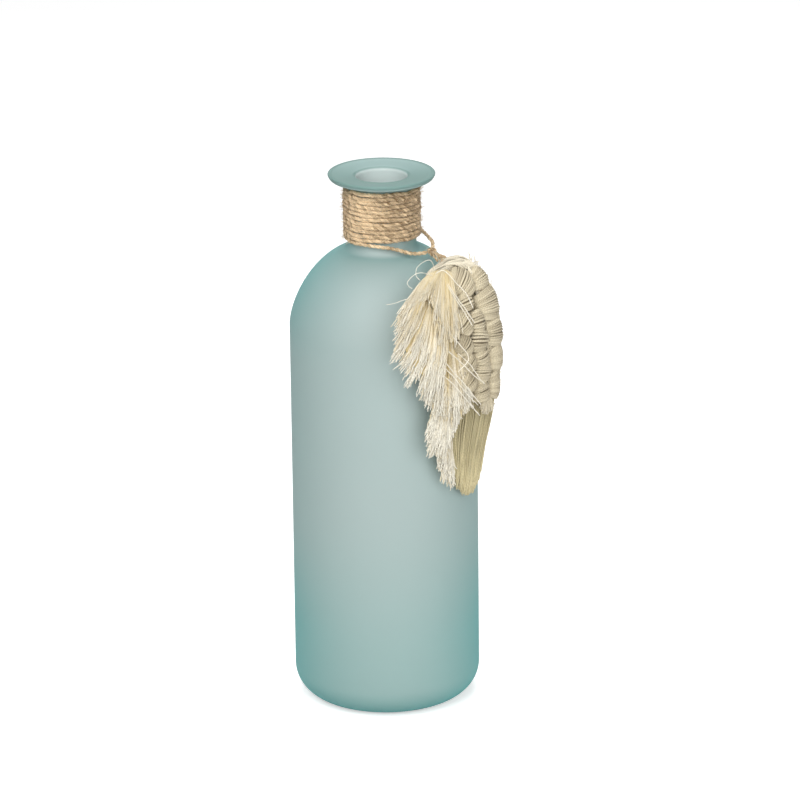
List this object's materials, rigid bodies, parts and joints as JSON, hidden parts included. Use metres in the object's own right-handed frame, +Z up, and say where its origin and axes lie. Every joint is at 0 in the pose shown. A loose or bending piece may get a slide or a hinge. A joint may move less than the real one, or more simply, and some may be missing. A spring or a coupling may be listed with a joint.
{
  "type": "glass bottle vase",
  "caption": "Frosted glass bottle vase with a domed shoulder and flared lip; twine wound on its neck carries a knotted, combed cotton wing that swings from the loop.",
  "frame": {"origin": "centre of the foot's flat face, on the bottle's axis", "axes": "+Z up along the bottle's axis, -Y towards the front of the picture, +X to its right; the wing hangs at 38 degrees from the front to the right"},
  "size_m": [0.113, 0.119, 0.2932],
  "materials": {
    "frosted_glass": "frosted, sea-glass aqua",
    "jute_twine": "rough three-ply twine",
    "cotton_knots": "twisted cotton cord",
    "cotton_fringe": "combed cotton"
  },
  "bodies": {
    "vase": {"glass_bottle": "frosted_glass", "twine_winding": "jute_twine", "twine_slack_front": "jute_twine", "twine_slack_back": "jute_twine"},
    "hanger": {"twine_knot": "jute_twine", "twine_short_end": "jute_twine"},
    "wing": {"twine_leg_left": "jute_twine", "twine_leg_right": "jute_twine", "wing_crown": "cotton_fringe", "wing_knot_1": "cotton_knots", "wing_knot_2": "cotton_knots", "wing_knot_3": "cotton_knots", "wing_knot_4": "cotton_knots", "wing_knot_5": "cotton_knots", "wing_knot_6": "cotton_knots", "wing_hitch_1": "cotton_knots", "wing_hitch_2": "cotton_knots", "wing_hitch_3": "cotton_knots", "wing_hitch_4": "cotton_knots", "wing_hitch_5": "cotton_knots", "wing_bundle_1": "cotton_knots", "wing_bundle_2": "cotton_knots", "wing_bundle_3": "cotton_knots", "wing_bundle_4": "cotton_knots", "wing_bundle_5": "cotton_knots", "wing_core_left": "cotton_knots", "wing_core_middle": "cotton_knots", "wing_core_right": "cotton_knots", "wing_fringe_cap": "cotton_fringe", "wing_fringe_upper": "cotton_fringe", "wing_fringe_middle": "cotton_fringe", "wing_fringe_lower": "cotton_fringe", "wing_fringe_tip": "cotton_fringe", "wing_tail": "cotton_knots"}
  },
  "joints": [
    {"name": "hanger_lift", "type": "hinge", "parent": "vase", "child": "hanger", "pos_m": [0.02613, -0.01787, 0.25435], "axis": [-0.788, -0.6157, 0], "range_deg": [0, 60]},
    {"name": "wing_swing", "type": "hinge", "parent": "hanger", "child": "wing", "pos_m": [0.02613, -0.01787, 0.25435], "axis": [0.6157, -0.788, 0], "range_deg": [-8, 15]}
  ]
}
